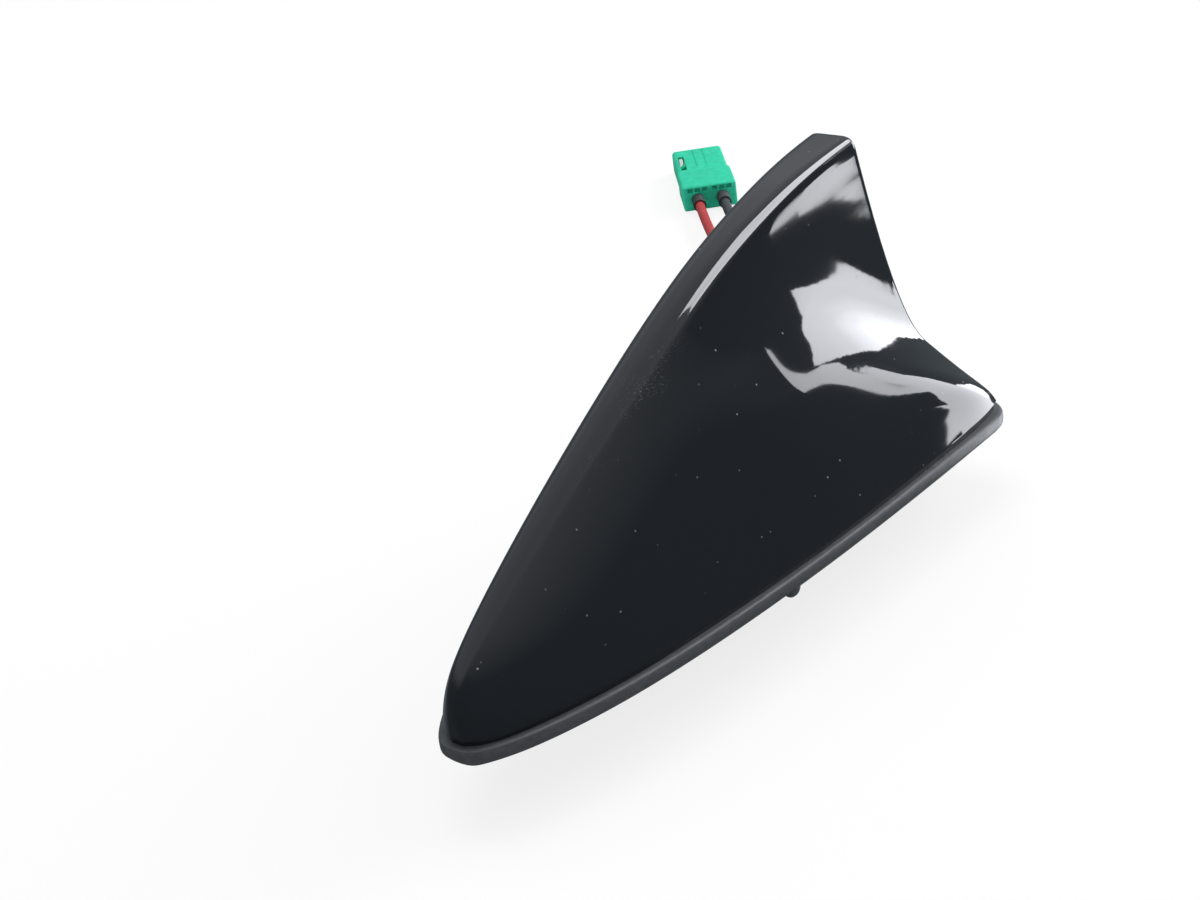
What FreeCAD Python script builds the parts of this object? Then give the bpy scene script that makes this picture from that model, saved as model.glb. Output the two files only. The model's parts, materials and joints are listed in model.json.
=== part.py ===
import FreeCAD, Part
import math
import os
import Sketcher

os.makedirs("parts", exist_ok=True)
V = FreeCAD.Vector
doc = FreeCAD.newDocument("roof_antenna")

# Driving sizes in millimetres, degrees for the plug's turn
SIZES = {
    "length": 163.0, "width": 68.2, "height": 71.0, "nose_to_boss": 91.0, "corner_radius": 8.0,
    "gasket_height": 3.7, "gasket_pad": 1.2, "gasket_rim": 3.4, "seal_lip": 0.7,
    "nub_x": -12.0, "nub_y": 25.0, "nub_radius": 1.4, "nub_drop": 3.0,
    "foot_height": 2.0, "foot_step": 0.5, "wall": 2.6, "slide_gap": 0.15,
    "boss_radius": 9.0, "boss_drop": 15.0, "boss_gap": 0.6, "pilot_length": 5.5,
    "thread_depth": 0.9, "thread_pitch": 2.5, "bore_radius": 5.6, "slot_width": 9.0,
    "slot_height": 8.4, "grommet_proud": 1.2, "grommet_gap": 0.1, "grommet_depth": 5.0,
    "grommet_round": 0.6,
    "post_radius": 3.0, "screw_radius": 1.25, "screw_length": 9.0, "head_radius": 2.6,
    "head_depth": 1.35, "front_post_x": -62.0, "front_post_y": 6.0, "rear_post_x": 54.0,
    "rear_post_y": 22.0, "board_length": 66.0, "board_width": 32.0, "board_thick": 1.6,
    "board_x": 14.0, "standoff": 5.0, "standoff_radius": 2.6, "board_edge": 3.4,
    "board_head": 1.1, "board_head_radius": 2.2, "board_screw_depth": 4.0,
    "patch_side": 25.0, "patch_thick": 4.0, "patch_x": -36.0, "shelf_side": 26.0,
    "shelf_height": 6.0, "electrode_side": 19.0, "electrode_thick": 0.3,
    "can_length": 22.0, "can_width": 24.0, "can_height": 4.0, "can_x": -1.0, "can_sheet": 0.3,
    "holder_thick": 2.4, "holder_front": 20.0, "holder_rear": 44.0, "holder_lean": 6.0,
    "holder_height": 38.0, "element_sheet": 0.4, "element_depth": 13.0, "element_length": 17.0,
    "feed_width": 4.0, "cable_radius": 1.5, "exit_z": -9.6, "exit_pitch": 4.4,
    "plug_length": 37.0, "plug_width": 16.4, "plug_height": 7.6, "plug_axis_z": 3.7,
    "plug_pitch": 8.0, "plug_x": 189.5, "plug_y": 130.3, "plug_turn": 40.6,
    "mouth_radius": 2.9, "mouth_depth": 13.0, "entry_radius": 2.05, "window_length": 11.0,
    "window_width": 2.8, "window_x": 9.0, "lock_x": 28.0, "lock_length": 4.0, "lock_sink": 0.7,
    "ferrule_start": 9.0, "ferrule_length": 20.0, "pin_radius": 0.55, "pin_length": 5.0,
    "sleeve_proud": 6.0, "first_run": 26.0, "last_run": 32.0,
}
sheet = doc.addObject("Spreadsheet::Sheet", "sizes")
for row, (name, value) in enumerate(SIZES.items(), start=1):
    sheet.set("A%d" % row, name)
    sheet.set("B%d" % row, str(value))
    sheet.setAlias("B%d" % row, name)
doc.recompute()


def size(name):
    return float(sheet.get(name))


def bind(obj, **links):
    for path, text in links.items():
        obj.setExpression(path, text)
    return obj


def place(obj, x="0", y="0", z="0"):
    for axis, text in zip("xyz", (x, y, z)):
        obj.setExpression("Placement.Base." + axis, text)
    return obj


def box(name, length, width, height, x, y, z):
    obj = bind(doc.addObject("Part::Box", name), Length=length, Width=width, Height=height)
    return place(obj, x, y, z)


def rod(name, radius, height, x="0", y="0", z="0"):
    obj = bind(doc.addObject("Part::Cylinder", name), Radius=radius, Height=height)
    return place(obj, x, y, z)


def union(name, shapes):
    obj = doc.addObject("Part::MultiFuse", name)
    obj.Shapes = shapes
    return obj


def cut(name, base, tool):
    obj = doc.addObject("Part::Cut", name)
    obj.Base = base
    obj.Tool = tool
    return obj


def solid(name, shape):
    obj = doc.addObject("Part::Feature", name)
    obj.Shape = shape
    return obj


# Plan outline: a rounded nose, long sides and a square tail with round corners
SIDE = ((0, 0), (0, 0.085), (0.010, 0.150), (0.033, 0.232), (0.076, 0.350), (0.180, 0.530),
        (0.310, 0.670), (0.455, 0.784), (0.620, 0.883), (0.800, 0.956), (0.920, 0.992))


def plan_wire(outset):
    length, half = size("length"), size("width") / 2
    nose, radius = -size("nose_to_boss"), size("corner_radius") + outset
    raw = [V(nose + x * length, y * half, 0) for x, y in SIDE]
    points = [raw[0] - V(outset, 0, 0), raw[1] - V(outset, 0, 0)]
    for before, here, after in zip(raw[1:], raw[2:], raw[3:] + raw[-1:]):
        way = (after - before).normalize()
        points.append(here + V(-way.y, way.x, 0) * outset)
    side = Part.BSplineCurve()
    side.buildFromPoles(points, False, 3)
    along = (points[-1] - points[-2]).normalize()
    inward = V(along.y, -along.x, 0)
    tail = nose + length + outset
    start_x = tail - radius - inward.x * radius
    start = points[-1] + along * ((start_x - points[-1].x) / along.x)
    centre = start + inward * radius
    turn = math.atan2(-inward.y, -inward.x) / 2
    middle = centre + V(math.cos(turn), math.sin(turn), 0) * radius
    end = centre + V(radius, 0, 0)
    flank = [side.toShape(), Part.makeLine(points[-1], start),
             Part.Arc(start, middle, end).toShape()]
    mirror = [edge.mirror(V(0, 0, 0), V(0, 1, 0)) for edge in flank]
    rear = Part.makeLine(end, V(end.x, -end.y, 0))
    return Part.Wire(Part.__sortEdges__(flank + [rear] + mirror))


def plan_slab(outset, bottom, top):
    face = Part.Face(plan_wire(outset))
    face.translate(V(0, 0, bottom))
    return face.extrude(V(0, 0, top - bottom))


# Cover ribs from foot to crease. Front: foot x y, crease x y z, middle control y z
FRONT_RIBS = ((1.2, 1.2, 1.3, 1.0, 7.2, 1.1, 6.5), (2.2, 3.6, 1.5, 1.0, 11.0, 2.6, 8.6),
              (4.8, 6.2, 2.8, 1.1, 15.3, 4.4, 11.2), (10.5, 9.4, 6.0, 1.3, 19.6, 6.4, 13.6),
              (22.0, 14.2, 17.0, 1.7, 26.7, 9.2, 18.2), (38.0, 18.9, 33.5, 2.3, 35.7, 11.6, 23.0),
              (56.0, 22.3, 52.0, 2.8, 44.9, 13.8, 28.0), (75.0, 25.5, 72.0, 3.4, 54.0, 15.8, 32.5))
# Rear: foot x y, crease x y z, then skirt, crest, shelf and hollow controls, each y z
REAR_RIBS = ((93.0, 28.0, 90.0, 3.8, 61.5, 24.6, 19.5, 19.0, 32.5, 15.0, 39.5, 8.6, 50.5),
             (111.0, 29.8, 107.0, 4.5, 66.0, 26.4, 18.5, 20.2, 30.0, 15.6, 36.5, 8.8, 49.0),
             (129.0, 31.2, 122.0, 5.0, 68.9, 28.6, 16.3, 22.4, 25.2, 16.5, 30.5, 8.2, 43.0),
             (144.0, 32.2, 134.0, 5.4, 70.3, 30.9, 12.6, 26.6, 18.0, 18.6, 22.5, 8.0, 34.0),
             (154.0, 32.6, 142.0, 5.6, 70.8, 32.0, 8.9, 30.0, 11.6, 20.8, 16.8, 8.2, 27.5),
             (159.5, 31.4, 148.6, 5.7, 71.0, 30.8, 6.6, 29.8, 8.0, 21.5, 13.5, 8.5, 24.0))
RIB_LENGTH, RIB_HALF, RIB_FOOT, RIB_TOP = 163.0, 34.1, 5.7, 71.0
INNER_SINK = (0, 0.2, 0.5, 0.6, 0.8, 1.2)
LEAN = (0.01, 0.03, 0.08, 0.22)
QUARTERS = ((0, 0), (0, 0.25), (0.25, 0.5), (0.5, 0.75), (0.75, 1), (1, 1))


def rib_controls():
    ribs = []
    for xb, yb, xt, yt, zt, ym, zm in FRONT_RIBS:
        foot, middle, top = V(xb, yb, RIB_FOOT), V((xb + xt) / 2, ym, zm), V(xt, yt, zt)
        ribs.append([foot * ((1 - a) * (1 - b)) + middle * (a + b - 2 * a * b) + top * (a * b)
                     for a, b in QUARTERS])
    for xb, yb, xt, yt, zt, *inner in REAR_RIBS:
        between = [V(xb + (xt - xb) * share, inner[2 * i], inner[2 * i + 1])
                   for i, share in enumerate(LEAN)]
        ribs.append([V(xb, yb, RIB_FOOT)] + between + [V(xt, yt, zt)])
    return ribs


def rib_poles(controls, inset):
    along = size("length") / RIB_LENGTH
    across = size("width") / 2 / RIB_HALF
    foot_z = size("gasket_height") + size("foot_height")
    rise = (size("height") - foot_z) / (RIB_TOP - RIB_FOOT)
    nose = -size("nose_to_boss")
    least = size("screw_radius") / 2
    poles = []
    for p, share in zip(controls, INNER_SINK):
        y = p.y * across
        z = foot_z + (p.z - RIB_FOOT) * rise - inset * share
        poles.append(V(p.x * along + nose, max(y - inset, least) if inset else y, z))
    if inset:
        poles[0] = V(poles[0].x, poles[0].y, size("gasket_height") - least)
    return poles


def cover_body(inset):
    ribs = rib_controls()
    grid = [rib_poles(rib, inset) for rib in (ribs[3::2] if inset else ribs)]
    for back, share in ((-1, 1.0), (-2, 0.6)):
        grid[back] = [p - V(inset * share, 0, 0) for p in grid[back]]
    spans = len(grid) - 3
    flank = Part.BSplineSurface()
    flank.buildFromPolesMultsKnots(grid, [4] + [1] * (spans - 1) + [4], [3, 1, 1, 1, 3],
                                   list(range(spans + 1)), [0, 1, 2, 3, 4], False, False, 3, 2)
    left = flank.toShape()
    faces = [left, left.mirror(V(0, 0, 0), V(0, 1, 0))]
    for border in (flank.vIso(0), flank.vIso(4), flank.uIso(0), flank.uIso(spans)):
        edge = border.toShape()
        faces.append(Part.makeRuledSurface(edge, edge.mirror(V(0, 0, 0), V(0, 1, 0))))
    shell = Part.Shell(faces)
    shell.sewShape()
    body = Part.Solid(shell)
    if body.Volume < 0:
        body.reverse()
    return body


# Fin cover: skin, foot step, hollow and four screw posts
outer = cover_body(0)
foot_face = min(outer.Faces, key=lambda face: face.CenterOfMass.z)
foot_box = foot_face.BoundBox
shrink = FreeCAD.Matrix()
shrink.move(-foot_box.Center)
shrink.scale(1 - 2 * size("foot_step") / foot_box.XLength, 1 - 2 * size("foot_step") / foot_box.YLength, 1)
shrink.move(foot_box.Center)
foot = foot_face.transformGeometry(shrink).extrude(V(0, 0, -size("foot_height")))


def along_x(name):
    nose = size("nose_to_boss")
    return (size(name) + nose) * size("length") / RIB_LENGTH - nose


POSTS = [(along_x("front_post_x"), side * size("front_post_y")) for side in (-1, 1)]
POSTS += [(along_x("rear_post_x"), side * size("rear_post_y")) for side in (-1, 1)]


def upright(radius, height, x, y, z):
    return Part.makeCylinder(radius, height, V(x, y, z))


posts = [upright(size("post_radius"), size("height"), x, y, size("gasket_height")).common(outer.fuse(foot))
         for x, y in POSTS]
pilots = [upright(size("screw_radius"), size("screw_length"), x, y, size("gasket_height"))
          for x, y in POSTS]
skin = outer.fuse(foot).cut(cover_body(size("wall"))).fuse(posts).cut(pilots)
fin_cover = solid("fin_cover", skin.removeSplitter())

# Gasket: a rim round a thin pad, with a hole for the boss and two small nibs below
rim = plan_slab(0, size("seal_lip"), size("gasket_height"))
gasket_blank = solid("gasket_blank", rim.fuse(plan_slab(-size("seal_lip"), 0, size("seal_lip"))))
gasket_recess = solid("gasket_recess", plan_slab(-size("gasket_rim"), size("gasket_pad"),
                                                 size("gasket_height") + size("gasket_pad")))
gasket_hole = rod("gasket_hole", "sizes.boss_radius + sizes.boss_gap", "sizes.gasket_height")
nibs = [rod("nib_%d" % i, "sizes.nub_radius", "sizes.nub_drop + sizes.gasket_pad / 2", "sizes.nub_x",
            sign + "sizes.nub_y", "-sizes.nub_drop") for i, sign in enumerate(("-", "+"))]
base_gasket = cut("base_gasket", union("gasket_solid", [gasket_blank] + nibs),
                  union("gasket_tools", [gasket_recess, gasket_hole]))


# Die-cast base: plate, threaded boss, board stand-offs and a shelf for the patch
def boss_profile():
    top, radius = size("gasket_height"), size("boss_radius")
    points = [V(0, 0, top), V(radius, 0, top), V(radius, 0, -size("pilot_length"))]
    z, pitch = -size("pilot_length"), size("thread_pitch")
    while z - pitch > -size("boss_drop") + pitch / 2:
        points.append(V(radius - size("thread_depth"), 0, z - pitch / 2))
        points.append(V(radius - size("thread_depth") / 4, 0, z - pitch))
        z -= pitch
    points += [V(radius - size("thread_depth"), 0, -size("boss_drop")), V(0, 0, -size("boss_drop"))]
    return points


boss_wire = Part.makePolygon(boss_profile() + [boss_profile()[0]])
boss = solid("boss", Part.Face(boss_wire).revolve(V(0, 0, 0), V(0, 0, 1), 360))
plate = solid("plate", plan_slab(-size("gasket_rim") - size("slide_gap"), size("gasket_pad"),
                                 size("gasket_height")))
shelf = box("shelf", "sizes.shelf_side", "sizes.shelf_side", "sizes.shelf_height",
            "sizes.patch_x - sizes.shelf_side / 2", "-sizes.shelf_side / 2", "sizes.gasket_height")
REACH_X = "sizes.board_x %s (sizes.board_length / 2 - sizes.board_edge)"
REACH_Y = "0 %s (sizes.board_width / 2 - sizes.board_edge)"
CORNERS = [(a, b) for a in "-+" for b in "-+"]
standoffs = [rod("standoff_%d" % i, "sizes.standoff_radius", "sizes.standoff", REACH_X % a, REACH_Y % b,
                 "sizes.gasket_height") for i, (a, b) in enumerate(CORNERS)]
taps = [rod("tap_%d" % i, "sizes.screw_radius", "sizes.board_screw_depth", REACH_X % a, REACH_Y % b,
            "sizes.gasket_height + sizes.standoff - sizes.board_screw_depth")
        for i, (a, b) in enumerate(CORNERS)]
cable_bore = rod("cable_bore", "sizes.bore_radius", "sizes.boss_drop + sizes.gasket_height", "0", "0",
                 "-sizes.boss_drop")
side_slot = box("side_slot", "sizes.boss_radius * 2", "sizes.slot_width", "sizes.slot_height",
                "0", "-sizes.slot_width / 2", "-sizes.boss_drop")


def screw_solid(shank, length, head, depth, flat):
    lower = shank if flat else head
    points = [V(0, 0, 0), V(head, 0, 0), V(lower, 0, depth), V(shank, 0, depth),
              V(shank, 0, length), V(0, 0, length)]
    points = [p for i, p in enumerate(points) if i == 0 or p != points[i - 1]]
    return Part.Face(Part.makePolygon(points + points[:1])).revolve(V(0, 0, 0), V(0, 0, 1), 360)


flat_screw = screw_solid(size("screw_radius"), size("gasket_height") - size("gasket_pad")
                         + size("screw_length"), size("head_radius"), size("head_depth"), True)
cover_screws = solid("cover_screws", Part.makeCompound(
    [flat_screw.translated(V(x, y, size("gasket_pad"))) for x, y in POSTS]))
sinks = solid("sinks", cover_screws.Shape)
base_plate = cut("base_plate", union("casting", [plate, boss, shelf] + standoffs),
                 union("casting_tools", [cable_bore, side_slot] + taps + [sinks]))

# Rubber grommet in the boss slot
grommet_block = box("grommet_block", "sizes.grommet_depth + sizes.grommet_proud",
                    "sizes.slot_width - 2 * sizes.grommet_gap", "sizes.slot_height - sizes.grommet_gap",
                    "sizes.boss_radius - sizes.grommet_depth", "-sizes.slot_width / 2 + sizes.grommet_gap",
                    "-sizes.boss_drop")
cable_grommet = doc.addObject("Part::Fillet", "cable_grommet")
cable_grommet.Base = grommet_block

# Main board on its stand-offs, with its screws
BOARD_Z = "sizes.gasket_height + sizes.standoff"
BOARD_TOP = BOARD_Z + " + sizes.board_thick"
board_blank = box("board_blank", "sizes.board_length", "sizes.board_width", "sizes.board_thick",
                  "sizes.board_x - sizes.board_length / 2", "-sizes.board_width / 2", BOARD_Z)
board_holes = [rod("board_hole_%d" % i, "sizes.screw_radius", "sizes.board_thick", REACH_X % a, REACH_Y % b,
                   BOARD_Z) for i, (a, b) in enumerate(CORNERS)]
main_board = cut("main_board", board_blank, union("board_tools", board_holes))
pan_screw = screw_solid(size("screw_radius"), size("board_head") + size("board_thick")
                        + size("board_screw_depth"), size("board_head_radius"), size("board_head"), False)
pan_screw.rotate(V(0, 0, 0), V(1, 0, 0), 180)
reach_x = size("board_length") / 2 - size("board_edge")
reach_y = size("board_width") / 2 - size("board_edge")
board_top = size("gasket_height") + size("standoff") + size("board_thick")
board_screws = solid("board_screws", Part.makeCompound(
    [pan_screw.translated(V(size("board_x") + a * reach_x, b * reach_y, board_top + size("board_head")))
     for a in (-1, 1) for b in (-1, 1)]))

# Ceramic patch with its electrode, and the shield can
PATCH_Z = "sizes.gasket_height + sizes.shelf_height"
satellite_patch = box("satellite_patch", "sizes.patch_side", "sizes.patch_side", "sizes.patch_thick",
                      "sizes.patch_x - sizes.patch_side / 2", "-sizes.patch_side / 2", PATCH_Z)
patch_electrode = box("patch_electrode", "sizes.electrode_side", "sizes.electrode_side",
                      "sizes.electrode_thick", "sizes.patch_x - sizes.electrode_side / 2",
                      "-sizes.electrode_side / 2", PATCH_Z + " + sizes.patch_thick")
can_outer = box("can_outer", "sizes.can_length", "sizes.can_width", "sizes.can_height",
                "sizes.can_x - sizes.can_length / 2", "-sizes.can_width / 2", BOARD_TOP)
can_inner = box("can_inner", "sizes.can_length - 2 * sizes.can_sheet",
                "sizes.can_width - 2 * sizes.can_sheet", "sizes.can_height - sizes.can_sheet",
                "sizes.can_x - sizes.can_length / 2 + sizes.can_sheet",
                "-sizes.can_width / 2 + sizes.can_sheet", BOARD_TOP)
shield_can = cut("shield_can", can_outer, can_inner)

# Upright holder as a sketched and padded body, with the radiator strip on its side
holder = doc.addObject("PartDesign::Body", "element_holder")
sketch = holder.newObject("Sketcher::SketchObject", "holder_outline")
plane = [f for f in holder.Origin.OriginFeatures if f.Role == "XZ_Plane"][0]
sketch.AttachmentSupport = (plane, [""])
sketch.MapMode = "FlatFace"
corners = [V(size("holder_front"), board_top, 0), V(size("holder_rear"), board_top, 0),
           V(size("holder_rear"), board_top + size("holder_height"), 0),
           V(size("holder_front") + size("holder_lean"), board_top + size("holder_height"), 0)]
for i in range(4):
    sketch.addGeometry(Part.LineSegment(corners[i], corners[(i + 1) % 4]), False)
for i in range(4):
    sketch.addConstraint(Sketcher.Constraint("Coincident", i, 2, (i + 1) % 4, 1))
HOLDER_TOP = BOARD_TOP + " + sizes.holder_height"
LINKS = (("sizes.holder_front", BOARD_TOP), ("sizes.holder_rear", BOARD_TOP),
         ("sizes.holder_rear", HOLDER_TOP), ("sizes.holder_front + sizes.holder_lean", HOLDER_TOP))
for i, link in enumerate(LINKS):
    for kind, text, value in zip(("DistanceX", "DistanceY"), link, (corners[i].x, corners[i].y)):
        number = sketch.addConstraint(Sketcher.Constraint(kind, -1, 1, i, 1, value))
        sketch.setExpression("Constraints[%d]" % number, text)
pad = holder.newObject("PartDesign::Pad", "holder_pad")
pad.Profile = sketch
pad.setExpression("Length", "sizes.holder_thick")
pad.Midplane = True
top_element = box("top_element", "sizes.element_length", "sizes.element_sheet", "sizes.element_depth",
                  "sizes.holder_rear - sizes.element_length", "sizes.holder_thick / 2",
                  HOLDER_TOP + " - sizes.element_depth")
feed_strip = box("feed_strip", "sizes.feed_width", "sizes.element_sheet",
                 "sizes.holder_height - sizes.element_depth", "sizes.holder_rear - sizes.feed_width",
                 "sizes.holder_thick / 2", BOARD_TOP)

# Plug on the cable ends, drawn along X from its cable face and then turned and placed
PLUG_PLACE = FreeCAD.Placement(V(size("plug_x"), size("plug_y"), -size("boss_drop")),
                               FreeCAD.Rotation(V(0, 0, 1), size("plug_turn")))


def lay(name, radius, length, x, side):
    obj = rod(name, radius, length, x, side + "sizes.plug_pitch / 2", "sizes.plug_axis_z")
    obj.Placement.Rotation = FreeCAD.Rotation(V(0, 1, 0), 90)
    return obj


def pair(name, radius, length, x):
    return [lay("%s_%s" % (name, tag), radius, length, x, sign) for tag, sign in (("a", "-"), ("b", "+"))]


plug_block = box("plug_block", "sizes.plug_length", "sizes.plug_width", "sizes.plug_height",
                 "0", "-sizes.plug_width / 2", "0")
entries = pair("entry", "sizes.entry_radius", "sizes.plug_length", "0")
mouths = pair("mouth", "sizes.mouth_radius", "sizes.mouth_depth", "sizes.plug_length - sizes.mouth_depth")
window = box("window", "sizes.window_length", "sizes.window_width", "sizes.plug_height - sizes.plug_axis_z",
             "sizes.window_x", "sizes.plug_pitch / 2 - sizes.window_width / 2", "sizes.plug_axis_z")
LOCK = ("sizes.lock_length", "sizes.plug_width", "sizes.lock_sink", "sizes.lock_x", "-sizes.plug_width / 2",
        "sizes.plug_height - sizes.lock_sink")
lock_seat = box("lock_seat", *LOCK)
plug_lock = doc.addObject("Part::Compound", "plug_lock")
plug_lock.Links = [box("lock_bar", *LOCK)]
plug_housing = cut("plug_housing", plug_block, union("plug_tools", entries + mouths + [window, lock_seat]))
contact_ferrules = union("contact_ferrules", pair("ferrule", "sizes.entry_radius", "sizes.ferrule_length",
                                                  "sizes.ferrule_start"))
contact_pins = union("contact_pins", pair("pin", "sizes.pin_radius", "sizes.pin_length",
                                          "sizes.ferrule_start + sizes.ferrule_length"))
crimp_sleeves = union("crimp_sleeves", pair("sleeve", "sizes.entry_radius",
                                            "sizes.sleeve_proud + sizes.ferrule_start", "-sizes.sleeve_proud"))
PLUG = [plug_housing, plug_lock, contact_ferrules, contact_pins, crimp_sleeves]
for piece in PLUG:
    piece.Placement = PLUG_PLACE
    place(piece, "sizes.plug_x", "sizes.plug_y", "-sizes.boss_drop")
doc.recompute()
ROUND = size("grommet_round")
cable_grommet.Edges = [(i, ROUND, ROUND) for i, edge in enumerate(grommet_block.Shape.Edges, start=1)
                       if edge.BoundBox.XMin > size("boss_radius")]


# Coaxial cables: straight runs joined by tangent arcs, from the grommet to the sleeves.
# Each resting point: share of the span in x and y, and how far the pair spreads there
REST_POINTS = ((0.37, 0.15, 0.4), (0.63, 0.46, 1.0))
BEND_SHARE = 0.45


def cable(name, points):
    radius = size("cable_radius")
    edges, last = [], points[0]
    for before, here, after in zip(points, points[1:], points[2:]):
        back, ahead = (before - here), (after - here)
        half = (math.pi - back.getAngle(ahead)) / 2
        trim = BEND_SHARE * min(back.Length, ahead.Length)
        start, end = here + back.normalize() * trim, here + ahead.normalize() * trim
        bend = trim / math.tan(half)
        middle = here + (back + ahead).normalize() * (math.hypot(bend, trim) - bend)
        edges += [Part.makeLine(last, start), Part.Arc(start, middle, end).toShape()]
        print(name, "bend radius", round(bend, 1))
        last = end
    edges.append(Part.makeLine(last, points[-1]))
    spine = Part.Wire(edges)
    ring = Part.Wire(Part.makeCircle(radius, points[0], points[1] - points[0]))
    tube = spine.makePipeShell([ring], True, False)
    print(name, "length", round(spine.Length, 1), "volume ratio",
          round(tube.Volume / (math.pi * radius ** 2 * spine.Length), 4))
    return solid(name, tube)


def route(side):
    face_x = size("boss_radius") + size("grommet_proud")
    rest_z = size("cable_radius") - size("boss_drop")
    end = PLUG_PLACE.multVec(V(-size("sleeve_proud"), side * size("plug_pitch") / 2, size("plug_axis_z")))
    ahead = PLUG_PLACE.Rotation.multVec(V(1, 0, 0))
    step = side * size("exit_pitch") / 2
    start = V(face_x, step, size("exit_z"))
    span = end - start
    lying = [V(start.x + span.x * x - step * spread, span.y * y + step, rest_z)
             for x, y, spread in REST_POINTS]
    return [start, start + V(size("first_run"), 0, 0)] + lying + [end - ahead * size("last_run"), end]


coax_red = cable("coax_red", route(1))
coax_black = cable("coax_black", route(-1))

# Checks and export
NODES = [fin_cover, base_gasket, base_plate, cable_grommet, main_board, board_screws, cover_screws,
         satellite_patch, patch_electrode, shield_can, holder, top_element, feed_strip,
         coax_red, coax_black] + PLUG
doc.recompute()
for obj in doc.Objects:
    if "Invalid" in obj.State or "Error" in obj.State:
        raise SystemExit("object not built: %s %s" % (obj.Name, obj.State))
for obj in NODES:
    obj.Label = obj.Name
    if obj.Shape.isNull() or not obj.Shape.isValid():
        raise SystemExit("shape not valid: " + obj.Label)
    obj.Shape.exportStep("parts/%s.step" % obj.Label)
    print(obj.Label, len(obj.Shape.Solids), round(obj.Shape.Volume, 1))
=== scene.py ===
import json
import math

import bpy
import numpy as np
from mathutils import Matrix, Vector


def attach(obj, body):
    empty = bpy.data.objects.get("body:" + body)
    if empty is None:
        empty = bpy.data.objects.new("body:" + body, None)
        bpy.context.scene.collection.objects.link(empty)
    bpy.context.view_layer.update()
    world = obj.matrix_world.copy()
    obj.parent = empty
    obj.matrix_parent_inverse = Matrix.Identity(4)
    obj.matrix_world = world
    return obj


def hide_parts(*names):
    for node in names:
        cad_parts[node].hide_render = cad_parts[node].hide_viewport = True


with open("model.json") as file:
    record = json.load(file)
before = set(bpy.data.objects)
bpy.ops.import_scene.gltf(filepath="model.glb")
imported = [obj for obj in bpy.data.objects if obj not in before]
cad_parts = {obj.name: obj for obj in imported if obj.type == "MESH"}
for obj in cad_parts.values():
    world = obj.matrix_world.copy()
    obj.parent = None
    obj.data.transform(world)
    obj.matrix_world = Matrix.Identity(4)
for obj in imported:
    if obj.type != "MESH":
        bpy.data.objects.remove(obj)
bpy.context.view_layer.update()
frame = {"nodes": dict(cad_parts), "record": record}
scene = bpy.context.scene
nodes = frame["nodes"]
MM = 0.001
FLOOR_Z = -15.0
SHARP = math.radians(38)


# Mesh helpers, all in millimetres
def new_object(name, verts, faces, smooth=True):
    mesh = bpy.data.meshes.new(name)
    mesh.from_pydata([tuple(c * MM for c in v) for v in verts], [], faces)
    mesh.update()
    if smooth:
        mesh.polygons.foreach_set("use_smooth", [True] * len(mesh.polygons))
        mesh.set_sharp_from_angle(angle=SHARP)
    obj = bpy.data.objects.new(name, mesh)
    scene.collection.objects.link(obj)
    return obj


class Patches:
    """Collects grids of points and merges the points that they share."""

    def __init__(self):
        self.verts, self.index, self.faces = [], {}, []

    def vert(self, p):
        key = tuple(round(float(c), 4) for c in p)
        if key not in self.index:
            self.index[key] = len(self.verts)
            self.verts.append(key)
        return self.index[key]

    def face(self, points, flip):
        ids = []
        for p in points:
            i = self.vert(p)
            if i not in ids:
                ids.append(i)
        if len(ids) > 2:
            self.faces.append(ids[::-1] if flip else ids)

    def grid(self, points, flip=False):
        for a, b in zip(points, points[1:]):
            for i in range(len(a) - 1):
                self.face((a[i], b[i], b[i + 1], a[i + 1]), flip)


def spline_weights(count, degree, t):
    """Weights of a clamped uniform B-spline with that many poles at t, from 0 to 1."""
    spans = count - degree
    knots = [0.0] * degree + [float(k) for k in range(spans + 1)] + [float(spans)] * degree
    x = min(max(t, 0.0), 1.0) * spans
    k = degree + min(int(x), spans - 1)
    w = np.zeros(count)
    d = [1.0]
    for p in range(1, degree + 1):
        new = [0.0] * (p + 1)
        for j in range(p):
            lo, hi = knots[k + j - p + 1], knots[k + j + 1]
            share = (x - lo) / (hi - lo)
            new[j] += d[j] * (1 - share)
            new[j + 1] += d[j] * share
        d = new
    w[k - degree:k + 1] = d
    return w


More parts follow.
